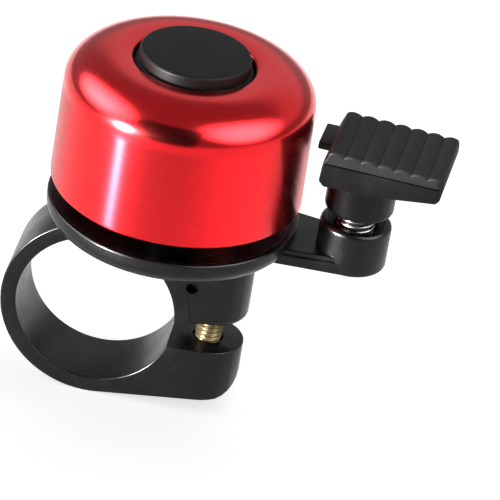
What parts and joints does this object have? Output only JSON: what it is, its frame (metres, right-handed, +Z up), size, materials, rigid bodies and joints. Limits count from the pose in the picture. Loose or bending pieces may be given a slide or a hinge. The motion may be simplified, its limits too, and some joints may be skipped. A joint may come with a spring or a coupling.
{
  "type": "bicycle bell",
  "caption": "Dome bell on a plastic base with a strap clamp for a handlebar and a thumb lever striker on a coil spring.",
  "frame": {"origin": "centre of the handlebar clamp's bore", "axes": "+Y along the handlebar, +Z up along the dome's axis, +X along the arm that carries the striker"},
  "size_m": [0.0587, 0.035, 0.0534],
  "materials": {
    "dome_red": "metallic red lacquer over bright metal, glossy",
    "base_black": "moulded black plastic, semi-gloss",
    "cap_black": "moulded black plastic, satin top",
    "striker_black": "moulded black plastic, semi-gloss",
    "pad_black": "matte ribbed black plastic",
    "bush_grey": "matte",
    "steel": "zinc-plated steel",
    "spring_steel": "bright nickel-plated wire",
    "yellow_zinc": "yellow zinc plated steel"
  },
  "bodies": {
    "base": {"base_bracket": "base_black", "bell_dome": "dome_red", "centre_cap": "cap_black", "dome_screw": "steel", "dome_washer": "steel", "dome_bush": "bush_grey", "clamp_nut": "yellow_zinc", "lower_spring_screw": "steel"},
    "spring": {"striker_spring": "spring_steel"},
    "striker": {"striker_body": "striker_black", "upper_spring_screw": "steel", "thumb_pad": "pad_black"},
    "screw_washer": {"clamp_washer": "yellow_zinc"},
    "screw": {"clamp_screw": "yellow_zinc"}
  },
  "joints": [
    {"name": "striker_swing", "type": "hinge", "parent": "base", "child": "spring", "pos_m": [0.03345, 0, 0.0207], "axis": [0, 1, 0], "range_deg": [-5.5, 17], "stiffness_Nm_per_rad": 0.05, "deforming": ["striker_spring"]},
    {"name": "striker_sway", "type": "hinge", "parent": "spring", "child": "striker", "pos_m": [0.03345, 0, 0.0207], "axis": [1, 0, 0], "range_deg": [-10, 10], "stiffness_Nm_per_rad": 0.05, "deforming": ["striker_spring"]},
    {"name": "clamp_screw_travel", "type": "slide", "parent": "base", "child": "screw_washer", "axis": [0, 0, -1], "range_m": [0, 0.0028]},
    {"name": "clamp_screw_turn", "type": "hinge", "parent": "screw_washer", "child": "screw", "pos_m": [0.0158, 0, 0], "axis": [0, 0, -1], "range_deg": [0, 1441]}
  ],
  "couplings": [
    {"joint": "clamp_screw_turn", "follows": "clamp_screw_travel", "rad_per_m": 8976}
  ]
}
